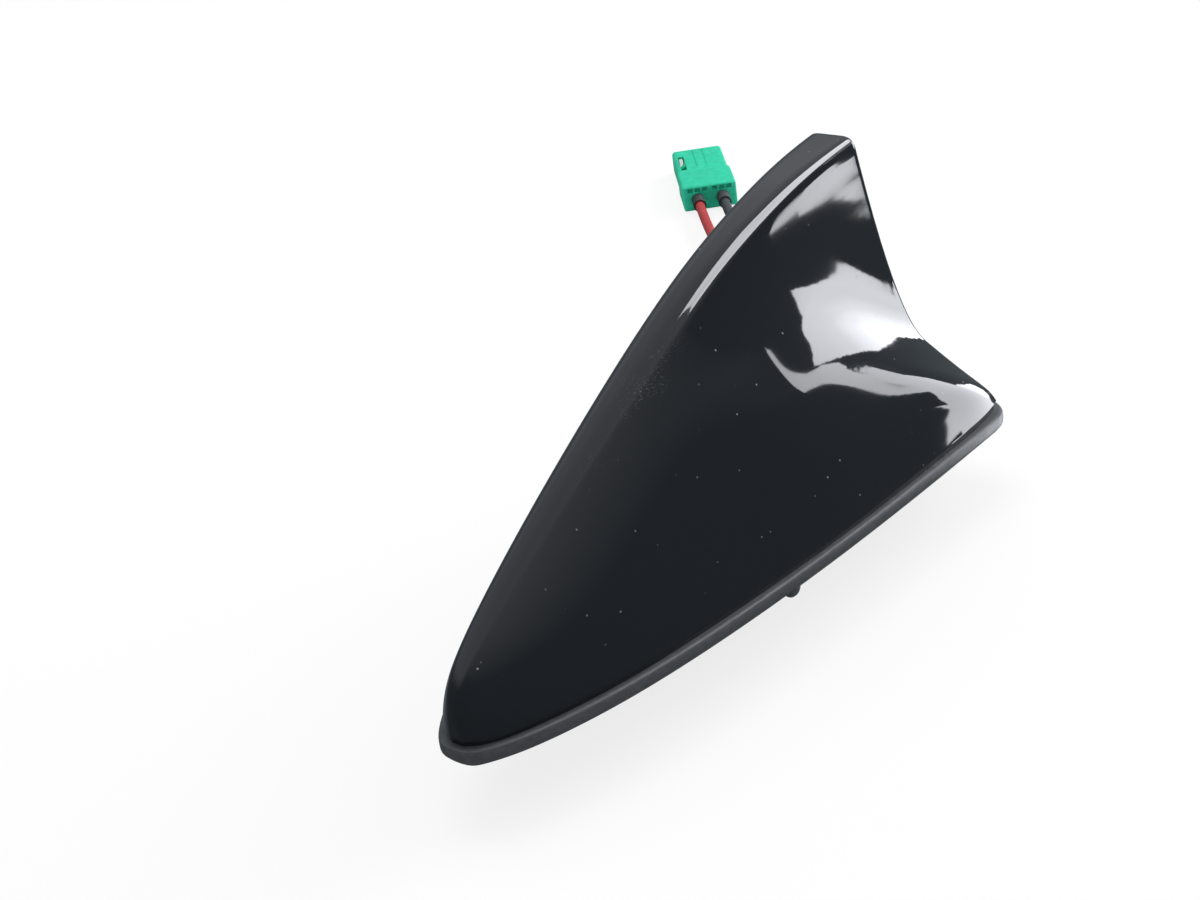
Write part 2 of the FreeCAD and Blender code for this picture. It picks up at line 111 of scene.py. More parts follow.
# Fin cover from the same ribs as the solid: foot x y, crease x y z, then inner controls
FRONT_RIBS = ((1.2, 1.2, 1.3, 1.0, 7.2, 1.1, 6.5), (2.2, 3.6, 1.5, 1.0, 11.0, 2.6, 8.6),
              (4.8, 6.2, 2.8, 1.1, 15.3, 4.4, 11.2), (10.5, 9.4, 6.0, 1.3, 19.6, 6.4, 13.6),
              (22.0, 14.2, 17.0, 1.7, 26.7, 9.2, 18.2), (38.0, 18.9, 33.5, 2.3, 35.7, 11.6, 23.0),
              (56.0, 22.3, 52.0, 2.8, 44.9, 13.8, 28.0), (75.0, 25.5, 72.0, 3.4, 54.0, 15.8, 32.5))
REAR_RIBS = ((93.0, 28.0, 90.0, 3.8, 61.5, 24.6, 19.5, 19.0, 32.5, 15.0, 39.5, 8.6, 50.5),
             (111.0, 29.8, 107.0, 4.5, 66.0, 26.4, 18.5, 20.2, 30.0, 15.6, 36.5, 8.8, 49.0),
             (129.0, 31.2, 122.0, 5.0, 68.9, 28.6, 16.3, 22.4, 25.2, 16.5, 30.5, 8.2, 43.0),
             (144.0, 32.2, 134.0, 5.4, 70.3, 30.9, 12.6, 26.6, 18.0, 18.6, 22.5, 8.0, 34.0),
             (154.0, 32.6, 142.0, 5.6, 70.8, 32.0, 8.9, 30.0, 11.6, 20.8, 16.8, 8.2, 27.5),
             (159.5, 31.4, 148.6, 5.7, 71.0, 30.8, 6.6, 29.8, 8.0, 21.5, 13.5, 8.5, 24.0))
NOSE_X, GASKET_TOP, FOOT_TOP, FOOT_STEP, WALL, RIDGE_TOP = -91.0, 3.7, 5.7, 0.5, 2.6, 71.0
INNER_SINK = (0, 0.2, 0.5, 0.6, 0.8, 1.2)
LEAN = (0.01, 0.03, 0.08, 0.22)
QUARTERS = ((0, 0), (0, 0.25), (0.25, 0.5), (0.5, 0.75), (0.75, 1), (1, 1))
ALONG, UP, ACROSS = 110, 48, 8
DEGREE_ALONG, DEGREE_UP = 3, 2
NOSE_CROWDING = 1.25
# Inner skin: every second rib from this one on, its least half width and its draw at the rear
INNER_FIRST, INNER_STRIDE, INNER_HALF, INNER_DRAW = 3, 2, 0.6, 0.6
CREASE_ROUND, CREASE_SHARE, CREASE_STEPS, REAR_STEPS = 3.0, 0.8, 10, 9
REAR_ROUND_LOW, REAR_ROUND_HIGH, REAR_SHARE = 0.8, 1.3, 0.02


def rib_controls():
    ribs = []
    for xb, yb, xt, yt, zt, ym, zm in FRONT_RIBS:
        foot = np.array((xb, yb, FOOT_TOP))
        middle, top = np.array(((xb + xt) / 2, ym, zm)), np.array((xt, yt, zt))
        ribs.append([foot * (1 - a) * (1 - b) + middle * (a + b - 2 * a * b) + top * a * b
                     for a, b in QUARTERS])
    for xb, yb, xt, yt, zt, *inner in REAR_RIBS:
        between = [(xb + (xt - xb) * share, inner[2 * i], inner[2 * i + 1])
                   for i, share in enumerate(LEAN)]
        ribs.append([(xb, yb, FOOT_TOP)] + between + [(xt, yt, zt)])
    grid = np.array(ribs, dtype=float)
    grid[:, :, 0] += NOSE_X
    return grid


def flank_points(inset):
    poles = rib_controls()
    if inset:
        poles = poles[INNER_FIRST::INNER_STRIDE].copy()
        poles[:, :, 1] = np.maximum(poles[:, :, 1] - inset, INNER_HALF)
        poles[:, :, 2] -= inset * np.array(INNER_SINK)
        poles[:, 0, 2] = GASKET_TOP
        poles[-1, :, 0] -= inset
        poles[-2, :, 0] -= inset * INNER_DRAW
    stations = [(i / ALONG) ** NOSE_CROWDING * (1 - REAR_SHARE) for i in range(ALONG)]
    stations += [1 - REAR_SHARE * (1 - math.sin(math.pi / 2 * k / REAR_STEPS))
                 for k in range(REAR_STEPS + 1)]
    us = [spline_weights(len(poles), DEGREE_ALONG, t) for t in stations]
    vs = [spline_weights(poles.shape[1], DEGREE_UP, j / UP) for j in range(UP + 1)]
    return np.einsum("ui,ijk,vj->uvk", np.array(us), poles, np.array(vs))


def across(near, far):
    return [near + (far - near) * (i / ACROSS) for i in range(ACROSS + 1)]


def mirrored(points):
    out = np.array(points, dtype=float)
    out[..., 1] *= -1
    return out


def round_crease(flank):
    """Replaces the top of each rib by a soft corner that runs on to the flat ridge."""
    rows = []
    for rib in flank:
        corner = rib[-1]
        reach = min(CREASE_ROUND, CREASE_SHARE * corner[1])
        lengths = np.linalg.norm(np.diff(rib, axis=0), axis=1)
        station = np.concatenate(([0.0], np.cumsum(lengths)))
        kept = np.linspace(0.0, station[-1] - reach, len(rib))
        lower = np.stack([np.interp(kept, station, rib[:, axis]) for axis in range(3)], axis=1)
        end = corner - np.array((0.0, reach, 0.0))
        ts = np.linspace(0.0, 1.0, CREASE_STEPS + 1)[1:, None]
        bend = lower[-1] * (1 - ts) ** 2 + corner * 2 * ts * (1 - ts) + end * ts ** 2
        rows.append(np.vstack((lower, bend)))
    return np.array(rows)


def arch(flank):
    """Whole sections from the near foot over the ridge to the far foot."""
    far = mirrored(flank)[:, ::-1]
    ridge = np.array([across(a, b)[1:-1] for a, b in zip(flank[:, -1], far[:, 0])])
    return np.concatenate((flank, ridge, far), axis=1)


def round_rear(sheet):
    """Rolls the rear end of the sheet inward on a soft radius that grows with height."""
    normal = np.cross(np.gradient(sheet, axis=0), np.gradient(sheet, axis=1))
    normal /= np.linalg.norm(normal, axis=2, keepdims=True)
    if normal[len(sheet) // 2, sheet.shape[1] // 2, 2] < 0:
        normal = -normal
    steps = np.linalg.norm(np.diff(sheet, axis=0), axis=2)
    left_over = np.concatenate((np.cumsum(steps[::-1], axis=0)[::-1],
                                np.zeros((1, sheet.shape[1]))))
    share = np.clip((sheet[-1, :, 2] - FOOT_TOP) / (RIDGE_TOP - FOOT_TOP), 0, 1)
    radius = REAR_ROUND_LOW + (REAR_ROUND_HIGH - REAR_ROUND_LOW) * share
    reach = np.clip(radius - left_over, 0, None)
    sink = radius - np.sqrt(np.maximum(radius ** 2 - reach ** 2, 0))
    out = sheet - normal * sink[:, :, None]
    out[:, (0, -1), 2] = sheet[:, (0, -1), 2]
    return out


def cap(row):
    """Cross lines that close one end of the sheet, from the foot up to the ridge."""
    count = (len(row) - ACROSS + 1) // 2
    lines = [across(row[j], row[-1 - j]) for j in range(count - 1)]
    return lines + [list(row[count - 1:count + ACROSS])]


def cover_skin(patches, inset):
    flip = bool(inset)
    flank = flank_points(inset)
    sheet = arch(flank) if inset else round_rear(arch(round_crease(flank)))
    rear, nose = cap(sheet[-1]), cap(sheet[0])
    patches.grid(sheet, not flip)
    patches.grid(rear, not flip)
    patches.grid(nose, flip)
    loop = list(sheet[:, 0]) + rear[0][1:-1] + list(sheet[::-1, -1]) + nose[0][::-1][1:-1]
    return np.array(loop)


def build_cover():
    patches = Patches()
    outer = cover_skin(patches, 0)
    inner = cover_skin(patches, WALL)
    low, high = outer.min(axis=0), outer.max(axis=0)
    centre, span = (low + high) / 2, high - low
    step = outer.copy()
    for axis in (0, 1):
        shrink = 1 - 2 * FOOT_STEP / span[axis]
        step[:, axis] = centre[axis] + (outer[:, axis] - centre[axis]) * shrink
    base = step.copy()
    base[:, 2] = GASKET_TOP
    rings = [np.vstack((ring, ring[:1])) for ring in (outer, step, base, inner)]
    patches.grid(rings)
    return new_object("fin_cover_shell", patches.verts, patches.faces)


cover = build_cover()
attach(cover, "root")
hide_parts("fin_cover")


# Gasket: a rubber profile swept round the same plan outline as the solid
SIDE = ((0, 0), (0, 0.085), (0.010, 0.150), (0.033, 0.232), (0.076, 0.350), (0.180, 0.530),
        (0.310, 0.670), (0.455, 0.784), (0.620, 0.883), (0.800, 0.956), (0.920, 0.992))
LENGTH, HALF_WIDTH, TAIL_CORNER, RIM, PAD, HOLE = 163.0, 34.1, 8.0, 3.4, 1.2, 9.6
# Section of the rim as outset and height, from the inner edge over the top to the seal lip
RUBBER_PROFILE = ((-RIM, PAD), (-RIM, GASKET_TOP), (-0.9, GASKET_TOP), (-0.55, 3.66), (-0.2, 3.5),
                  (-0.05, 3.2), (0.0, 2.6), (0.0, 1.6), (-0.06, 1.2), (-0.22, 0.92), (-0.45, 0.76),
                  (-0.72, 0.66), (-0.8, 0.3), (-0.95, 0.0))
NIB, NIB_RADII = (-12.0, 25.0, 0.0), (2.3, 1.7, 2.2)
PLAN_STEPS, PLAN_CROWDING, CORNER_STEPS, TAIL_STEPS = 70, 1.4, 12, 4
DOME_RING, DOME_HALF, DOME_ROWS = 20, 12, 9


def plan_loop(outset, z):
    raw = np.array([(NOSE_X + x * LENGTH, y * HALF_WIDTH) for x, y in SIDE])
    poles = raw.copy()
    poles[:2, 0] -= outset
    for i in range(2, len(raw)):
        way = raw[min(i + 1, len(raw) - 1)] - raw[i - 1]
        way /= np.linalg.norm(way)
        poles[i] += np.array((-way[1], way[0])) * outset
    flank = [spline_weights(len(poles), DEGREE_ALONG, (i / PLAN_STEPS) ** PLAN_CROWDING) @ poles
             for i in range(PLAN_STEPS + 1)]
    along = (poles[-1] - poles[-2]) / np.linalg.norm(poles[-1] - poles[-2])
    inward, radius = np.array((along[1], -along[0])), TAIL_CORNER + outset
    tail = NOSE_X + LENGTH + outset
    start = poles[-1] + along * ((tail - radius - inward[0] * radius - poles[-1][0]) / along[0])
    centre, first = start + inward * radius, math.atan2(-inward[1], -inward[0])
    turns = [first * (1 - k / CORNER_STEPS) for k in range(CORNER_STEPS + 1)]
    flank += [centre + radius * np.array((math.cos(a), math.sin(a))) for a in turns]
    flank += [np.array((tail, flank[-1][1] * (1 - k / TAIL_STEPS))) for k in range(1, TAIL_STEPS + 1)]
    other = [p * np.array((1, -1)) for p in flank[-2:0:-1]]
    return [(p[0], p[1], z) for p in flank + other + flank[:1]]


def hole_loop(outline, z):
    return [(HOLE * x / math.hypot(x, y), HOLE * y / math.hypot(x, y), z) for x, y, _ in outline]


def dome(patches, centre, radii):
    turns = [2 * math.pi * i / DOME_RING for i in range(DOME_RING + 1)]
    rises = [math.pi * j / DOME_HALF for j in range(DOME_ROWS)]
    rows = [[(centre[0] + radii[0] * math.cos(a) * math.sin(b),
              centre[1] + radii[1] * math.sin(a) * math.sin(b),
              centre[2] - radii[2] * math.cos(b)) for a in turns] for b in rises]
    patches.grid(rows + [[centre] * len(turns)], True)


def build_gasket():
    patches = Patches()
    rings = [plan_loop(outset, z) for outset, z in RUBBER_PROFILE]
    bore = [hole_loop(rings[-1], 0.0), hole_loop(rings[0], PAD)]
    patches.grid([hole_loop(rings[0], PAD)] + rings + bore, True)
    for side in (-1, 1):
        dome(patches, (NIB[0], side * NIB[1], NIB[2]), NIB_RADII)
    return new_object("base_gasket_rubber", patches.verts, patches.faces)


gasket = build_gasket()
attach(gasket, "root")
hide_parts("base_gasket")


# Cables: the route points of the solids as control points of one smooth line each
RED_ROUTE = ((10.2, 2.2, -9.6), (36.2, 2.2, -9.6), (73.01, 21.29, -13.5), (116.45, 60.73, -13.5),
             (158.04, 108.61, -11.3), (182.34, 129.43, -11.3))
BLACK_ROUTE = ((10.2, -2.2, -9.6), (36.2, -2.2, -9.6), (76.70, 16.63, -13.5), (124.13, 55.56, -13.5),
               (163.25, 102.53, -11.3), (187.55, 123.36, -11.3))
CABLE_RADIUS = 1.5
CABLE_SIDES, CABLE_STEPS, CABLE_ORDER = 6, 24, 3


def cable(name, route, node):
    curve = bpy.data.curves.new(name, "CURVE")
    curve.dimensions = "3D"
    # The points' own radius carries the thickness, so the bevel is one metre deep
    curve.bevel_depth, curve.bevel_resolution = 1.0, CABLE_SIDES
    curve.resolution_u, curve.use_fill_caps = CABLE_STEPS, True
    spline = curve.splines.new("NURBS")
    spline.points.add(len(route) - 1)
    for point, (x, y, z) in zip(spline.points, route):
        point.co = (x * MM, y * MM, z * MM, 1.0)
        point.radius = CABLE_RADIUS * MM
    spline.order_u = CABLE_ORDER
    spline.use_endpoint_u = True
    obj = bpy.data.objects.new(name, curve)
    scene.collection.objects.link(obj)
    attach(obj, "root")
    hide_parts(node)
    return obj


# Plug: rounded housing with its sockets and slot, a collar at the cable end and a spring tongue
PLUG_PLACE, PLUG_TURN = (189.5, 130.3, FLOOR_Z), math.radians(40.6)
PLUG_FRAME = Matrix.Translation(PLUG_PLACE) @ Matrix.Rotation(PLUG_TURN, 4, "Z")
# Blocks as sections of x, half width, bottom and top; cuts as boxes of x, y and z ranges
HOUSING = ((0.6, 8.2, 0.0, 7.6), (37.0, 8.2, 0.0, 7.6))
COLLAR = ((-0.2, 8.6, 0.0, 8.1), (14.4, 8.6, 0.0, 8.1), (17.2, 8.15, 0.05, 7.55))
HOUSING_ROUND, COLLAR_ROUND, TONGUE_ROUND, EDGE_SEGMENTS = 1.2, 0.7, 0.25, 4
SLOT_CUT = (17.6, 30.4, 5.0, 6.9, 1.6, 9.0)
TONGUE_HALF, TONGUE_LOW, TONGUE_HIGH, TONGUE_Y = 0.7, 1.2, 7.2, 5.95
# Tongue stations and how far its top drops there, from the sprung end to the far end
TONGUE_LINE = ((26.6, 1.6), (28.2, 0.2), (30.2, 0.0))
SOCKET_Y, SOCKET_Z, SOCKET_RADIUS, SOCKET_DEPTH, SOCKET_PAST, SOCKET_SIDES = 4.0, 3.7, 2.9, 13.0, 2.0, 28
END_CUT_HALF, GROOVE_HALF = 0.8, 0.18
END_CUTS = [(-1.0, 1.3, y - END_CUT_HALF, y + END_CUT_HALF, 6.3, 7.5)
            for y in (-6.2, -3.9, -1.6, 1.6, 3.9, 6.2)]
TOP_GROOVES = [(19.0, 40.0, y - GROOVE_HALF, y + GROOVE_HALF, 7.4, 9.0) for y in (1.6, -1.6)]


def tube_faces(first, count, loops):
    """Sides and ends of a closed tube of point loops that follow each other from the first."""
    faces = []
    for a in range(first, first + count * (loops - 1), count):
        faces += [(a + i, a + (i + 1) % count, a + count + (i + 1) % count, a + count + i)
                  for i in range(count)]
    last = first + count * (loops - 1)
    return faces + [tuple(range(first + count - 1, first - 1, -1)), tuple(range(last, last + count))]


def prism(name, sections, y=0.0):
    verts = []
    for x, half, low, high in sections:
        verts += [(x, y - half, low), (x, y + half, low), (x, y + half, high), (x, y - half, high)]
    return new_object(name, [PLUG_FRAME @ Vector(v) for v in verts], tube_faces(0, 4, len(sections)))


def cutters(boxes, sockets):
    verts, faces = [], []
    for x0, x1, y0, y1, z0, z1 in boxes:
        faces += tube_faces(len(verts), 4, 2)
        verts += [(x, y, z) for x in (x0, x1) for y, z in ((y0, z0), (y1, z0), (y1, z1), (y0, z1))]
    turns = [2 * math.pi * i / SOCKET_SIDES for i in range(SOCKET_SIDES)]
    for x0, x1, y, radius in sockets:
        faces += tube_faces(len(verts), SOCKET_SIDES, 2)
        verts += [(x, y + radius * math.cos(a), SOCKET_Z + radius * math.sin(a))
                  for x in (x0, x1) for a in turns]
    return new_object("cutters", [PLUG_FRAME @ Vector(v) for v in verts], faces, False)


def finish_block(obj, rounding, tools=None):
    """Rounds the edges, takes the cut-outs away and keeps the result as plain mesh."""
    bevel = obj.modifiers.new("edges", "BEVEL")
    bevel.width, bevel.segments, bevel.angle_limit = rounding * MM, EDGE_SEGMENTS, SHARP
    if tools:
        cut = obj.modifiers.new("cut", "BOOLEAN")
        cut.operation, cut.object, cut.solver = "DIFFERENCE", tools, "EXACT"
    bpy.context.view_layer.update()
    mesh = bpy.data.meshes.new_from_object(obj.evaluated_get(bpy.context.evaluated_depsgraph_get()))
    obj.modifiers.clear()
    obj.data = mesh
    mesh.polygons.foreach_set("use_smooth", [True] * len(mesh.polygons))
    mesh.set_sharp_from_angle(angle=SHARP)
    if tools:
        bpy.data.objects.remove(tools)
    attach(obj, "root")
    return obj


mouth = HOUSING[-1][0]
sockets = [(mouth - SOCKET_DEPTH, mouth + SOCKET_PAST, y, SOCKET_RADIUS) for y in (-SOCKET_Y, SOCKET_Y)]
plug_body = finish_block(prism("plug_body", HOUSING), HOUSING_ROUND,
                         cutters([SLOT_CUT] + TOP_GROOVES, sockets))
plug_collar = finish_block(prism("plug_collar", COLLAR), COLLAR_ROUND, cutters(END_CUTS, []))
tongue_sections = [(x, TONGUE_HALF, TONGUE_LOW, TONGUE_HIGH - drop) for x, drop in TONGUE_LINE]
tongue = finish_block(prism("contact_tongue", tongue_sections, TONGUE_Y), TONGUE_ROUND)
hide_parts("plug_housing", "plug_lock")
red_cable = cable("cable_red", RED_ROUTE, "coax_red")
black_cable = cable("cable_black", BLACK_ROUTE, "coax_black")


# Procedural materials
class Shader:
    """A material with short calls for its nodes."""

    def __init__(self, name):
        self.material = bpy.data.materials.new(name)
        self.material.use_nodes = True
        self.tree = self.material.node_tree
        self.shader = self.tree.nodes["Principled BSDF"]
        self.where = self.tree.nodes.new("ShaderNodeTexCoord").outputs["Object"]

    def set(self, **values):
        for name, value in values.items():
            self.shader.inputs[name.replace("_", " ")].default_value = value
        return self

    def link(self, source, target):
        self.tree.links.new(source, target)

    def to(self, name, source):
        self.link(source, self.shader.inputs[name])

    def noise(self, scale, detail=4.0, stretch=(1, 1, 1), rough=0.55):
        space = self.tree.nodes.new("ShaderNodeMapping")
        space.inputs["Scale"].default_value = [scale * s for s in stretch]
        self.link(self.where, space.inputs["Vector"])
        node = self.tree.nodes.new("ShaderNodeTexNoise")
        node.inputs["Scale"].default_value = 1.0
        node.inputs["Detail"].default_value = detail
        node.inputs["Roughness"].default_value = rough
        self.link(space.outputs["Vector"], node.inputs["Vector"])
        return node.outputs["Fac"]

    def specks(self, scale):
        node = self.tree.nodes.new("ShaderNodeTexVoronoi")
        node.inputs["Scale"].default_value = scale
        self.link(self.where, node.inputs["Vector"])
        return node.outputs["Distance"], node.outputs["Color"]

    def belt(self, normal, low, middle, high):
        """One at the middle distance along the normal, fading to nothing at low and high, in mm."""
        dot = self.tree.nodes.new("ShaderNodeVectorMath")
        dot.operation = "DOT_PRODUCT"
        dot.inputs[1].default_value = normal
        self.link(self.where, dot.inputs[0])
        scale = self.tree.nodes.new("ShaderNodeMapRange")
        scale.inputs["From Min"].default_value = low * MM
        scale.inputs["From Max"].default_value = high * MM
        self.link(dot.outputs["Value"], scale.inputs["Value"])
        peak = (middle - low) / (high - low)
        return self.ramp(scale.outputs["Result"], ((0.0, 0.0), (peak, 1.0), (1.0, 0.0)))

    def ramp(self, source, stops):
        node = self.tree.nodes.new("ShaderNodeValToRGB")
        self.link(source, node.inputs["Fac"])
        elements = node.color_ramp.elements
        while len(elements) < len(stops):
            elements.new(0.5)
        for element, (position, value) in zip(elements, stops):
            element.position = position
            colour = value if isinstance(value, tuple) else (value,) * 3
            element.color = (*colour, 1.0)
        return node.outputs["Color"]

    def math(self, kind, a, b):
        node = self.tree.nodes.new("ShaderNodeMath")
        node.operation = kind
        for socket, value in zip(node.inputs, (a, b)):
            if isinstance(value, (int, float)):
                socket.default_value = value
            else:
                self.link(value, socket)
        return node.outputs["Value"]

    def bump(self, source, depth):
        node = self.tree.nodes.new("ShaderNodeBump")
        node.inputs["Distance"].default_value = depth * MM
        node.inputs["Strength"].default_value = 1.0
        self.link(source, node.inputs["Height"])
        self.to("Normal", node.outputs["Normal"])


GRAIN_LOW, GRAIN_HIGH, BLOTCH = 0.3, 0.7, 0.4


def grained(name, dark, light, scale, rough, depth=0.02, metal=0.0):
    """Two shades mixed by fine grain, with roughness in larger blotches and a shallow bump."""
    shader = Shader(name).set(Metallic=metal)
    grain, blotches = shader.noise(scale), shader.noise(scale * BLOTCH)
    shader.to("Base Color", shader.ramp(grain, ((GRAIN_LOW, dark), (GRAIN_HIGH, light))))
    shader.to("Roughness", shader.ramp(blotches, ((GRAIN_LOW, rough[0]), (GRAIN_HIGH, rough[1]))))
    shader.bump(grain, depth)
    return shader.material


# Cover: dust cells, scuffs and haze by noise scale, and the shades of the plastic and of its marks
DUST_SCALE, SCUFF_SCALE, SCUFF_PATCHES, HAZE_SCALE, WAVE_SCALE = 360, 1500, 130, 18, 35
SCUFF_STRETCH, MARK_ROUGH, WAVE_DEPTH, COVER_IOR = (1, 1, 2.2), 0.45, 0.010, 1.5
COVER_SHADE, MARK_SHADE = (0.0052, 0.0070, 0.0098), (0.28, 0.29, 0.30)
# Scuffed belt just below the crease, measured across it, and its reach along the fin
SCUFF_NORMAL, SCUFF_BELT, SCUFF_REACH = (-0.46, 0.0, 1.0), (55.5, 60.0, 63.5), (-52.0, -28.0, -6.0)


def gloss_material():
    shader = Shader("gloss_black_plastic").set(IOR=COVER_IOR)
    dust, pick = shader.specks(DUST_SCALE)
    dots = shader.ramp(dust, ((0.045, 1.0), (0.09, 0.0)))
    dots = shader.math("MULTIPLY", dots, shader.ramp(pick, ((0.62, 0.0), (0.95, 1.0))))
    fine = shader.ramp(shader.noise(SCUFF_SCALE, 6, SCUFF_STRETCH, 0.75), ((0.56, 0.0), (0.72, 1.0)))
    patchy = shader.ramp(shader.noise(SCUFF_PATCHES, 3), ((0.45, 0.0), (0.62, 1.0)))
    scuffs = shader.math("MULTIPLY", fine, patchy)
    scuffs = shader.math("MULTIPLY", scuffs, shader.belt(SCUFF_NORMAL, *SCUFF_BELT))
    scuffs = shader.math("MULTIPLY", scuffs, shader.belt((1, 0, 0), *SCUFF_REACH))
    marks = shader.math("MAXIMUM", dots, scuffs)
    shader.to("Base Color", shader.ramp(marks, ((0.0, COVER_SHADE), (1.0, MARK_SHADE))))
    haze = shader.ramp(shader.noise(HAZE_SCALE, 5), ((0.3, 0.025), (0.75, 0.06)))
    shader.to("Roughness", shader.math("ADD", haze, shader.math("MULTIPLY", marks, MARK_ROUGH)))
    shader.bump(shader.noise(WAVE_SCALE, 2), WAVE_DEPTH)
    return shader.material


# By slot: darker and lighter shade, grain scale, roughness range, bump depth in mm, metal
MATERIALS = {
    "gloss_black": gloss_material(),
    "rubber_grey": grained("rubber_grey_satin", (0.036, 0.039, 0.044), (0.054, 0.058, 0.064), 900,
                           (0.48, 0.62), 0.03),
    "cast_metal": grained("cast_metal", (0.46, 0.46, 0.47), (0.62, 0.62, 0.63), 700, (0.4, 0.6), 0.04, 1.0),
    "board": grained("board_green", (0.012, 0.09, 0.035), (0.03, 0.15, 0.06), 300, (0.3, 0.45)),
    "ceramic": grained("patch_ceramic", (0.40, 0.33, 0.26), (0.50, 0.43, 0.34), 500, (0.5, 0.7)),
    "tinned": grained("tinned_sheet", (0.52, 0.52, 0.51), (0.68, 0.68, 0.67), 250, (0.25, 0.45), 0.01, 1.0),
    "frame_plastic": grained("holder_plastic", (0.022, 0.022, 0.024), (0.038, 0.038, 0.040), 800,
                             (0.5, 0.65)),
    "screw_steel": grained("screw_steel", (0.42, 0.42, 0.44), (0.58, 0.58, 0.60), 900, (0.25, 0.4), 0.01, 1.0),
    "jacket_red": grained("jacket_red", (0.30, 0.012, 0.016), (0.42, 0.03, 0.03), 600, (0.35, 0.5)),
    "jacket_black": grained("jacket_black", (0.018, 0.018, 0.021), (0.033, 0.033, 0.038), 600, (0.4, 0.55)),
    "sleeve_black": grained("sleeve_black", (0.014, 0.014, 0.016), (0.028, 0.028, 0.030), 800, (0.55, 0.7)),
    "plug_green": grained("plug_green", (0.012, 0.46, 0.27), (0.022, 0.58, 0.36), 500, (0.38, 0.52)),
    "contact_metal": grained("contact_metal", (0.66, 0.65, 0.62), (0.82, 0.81, 0.78), 400, (0.12, 0.28),
                             0.005, 1.0),
}
NODE_SLOTS = {item["node"]: item["material_slot"] for item in frame["record"]["subparts"]}
PLUG_SHINE = 0.2
plug_shader = MATERIALS["plug_green"].node_tree.nodes["Principled BSDF"]
plug_shader.inputs["Specular IOR Level"].default_value = PLUG_SHINE


def dress(obj, material):
    obj.data.materials.clear()
    obj.data.materials.append(material)


for name, obj in nodes.items():
    dress(obj, MATERIALS[NODE_SLOTS[name]])
dress(cover, MATERIALS["gloss_black"])
dress(gasket, MATERIALS["rubber_grey"])
dress(plug_body, MATERIALS["plug_green"])
dress(plug_collar, MATERIALS["plug_green"])
dress(tongue, MATERIALS["contact_metal"])
dress(red_cable, MATERIALS["jacket_red"])
dress(black_cable, MATERIALS["jacket_black"])


# Camera fitted to the photograph
TURN, TILT, ROLL = math.radians(-49.67), math.radians(27.70), math.radians(8.54)
DISTANCE, FOCAL_PX, IMAGE_WIDTH, SENSOR = 417.713, 2033.176, 1200, 36.0
CLIP_NEAR, CLIP_FAR = 0.01, 20
TARGET = Vector((-22.803, 11.413, 30.0))


def make_camera():
    back = Vector((math.sin(TURN) * math.cos(TILT), -math.cos(TURN) * math.cos(TILT), math.sin(TILT)))
    level = Vector((math.cos(TURN), math.sin(TURN), 0))
    upright = back.cross(level)
    right = level * math.cos(ROLL) - upright * math.sin(ROLL)
    up = level * math.sin(ROLL) + upright * math.cos(ROLL)
    data = bpy.data.cameras.new("camera")
    data.sensor_width, data.sensor_fit = SENSOR, "HORIZONTAL"
    data.lens = FOCAL_PX * data.sensor_width / IMAGE_WIDTH
    data.clip_start, data.clip_end = CLIP_NEAR, CLIP_FAR
    camera = bpy.data.objects.new("camera", data)
    turned = Matrix((right, up, back)).transposed().to_4x4()
    camera.matrix_world = Matrix.Translation((TARGET + back * DISTANCE) * MM) @ turned
    scene.collection.objects.link(camera)
    scene.camera = camera


make_camera()


# Studio: white world and pale floor for the camera
AMBIENT, FLOOR_HALF, FLOOR_SHADE, FLOOR_ROUGH, FLOOR_GLOW = 0.55, 3000.0, 0.86, 0.9, 0.8


def seen_factor(tree):
    """One for rays from the camera, a reflection or a see-through piece."""
    path = tree.nodes.new("ShaderNodeLightPath")
    total = path.outputs["Is Camera Ray"]
    for name in ("Is Glossy Ray", "Is Transmission Ray"):
        add = tree.nodes.new("ShaderNodeMath")
        add.operation = "MAXIMUM"
        tree.links.new(total, add.inputs[0])
        tree.links.new(path.outputs[name], add.inputs[1])
        total = add.outputs["Value"]
    return total


def make_world():
    world = bpy.data.worlds.new("studio")
    scene.world = world
    world.use_nodes = True
    tree = world.node_tree
    tree.nodes.clear()
    ambient, white = tree.nodes.new("ShaderNodeBackground"), tree.nodes.new("ShaderNodeBackground")
    ambient.inputs["Color"].default_value = (1, 1, 1, 1)
    ambient.inputs["Strength"].default_value = AMBIENT
    white.inputs["Strength"].default_value = 1.0
    white.inputs["Color"].default_value = (1, 1, 1, 1)
    mix, out = tree.nodes.new("ShaderNodeMixShader"), tree.nodes.new("ShaderNodeOutputWorld")
    tree.links.new(seen_factor(tree), mix.inputs["Fac"])
    tree.links.new(ambient.outputs["Background"], mix.inputs[1])
    tree.links.new(white.outputs["Background"], mix.inputs[2])
    tree.links.new(mix.outputs["Shader"], out.inputs["Surface"])


make_world()


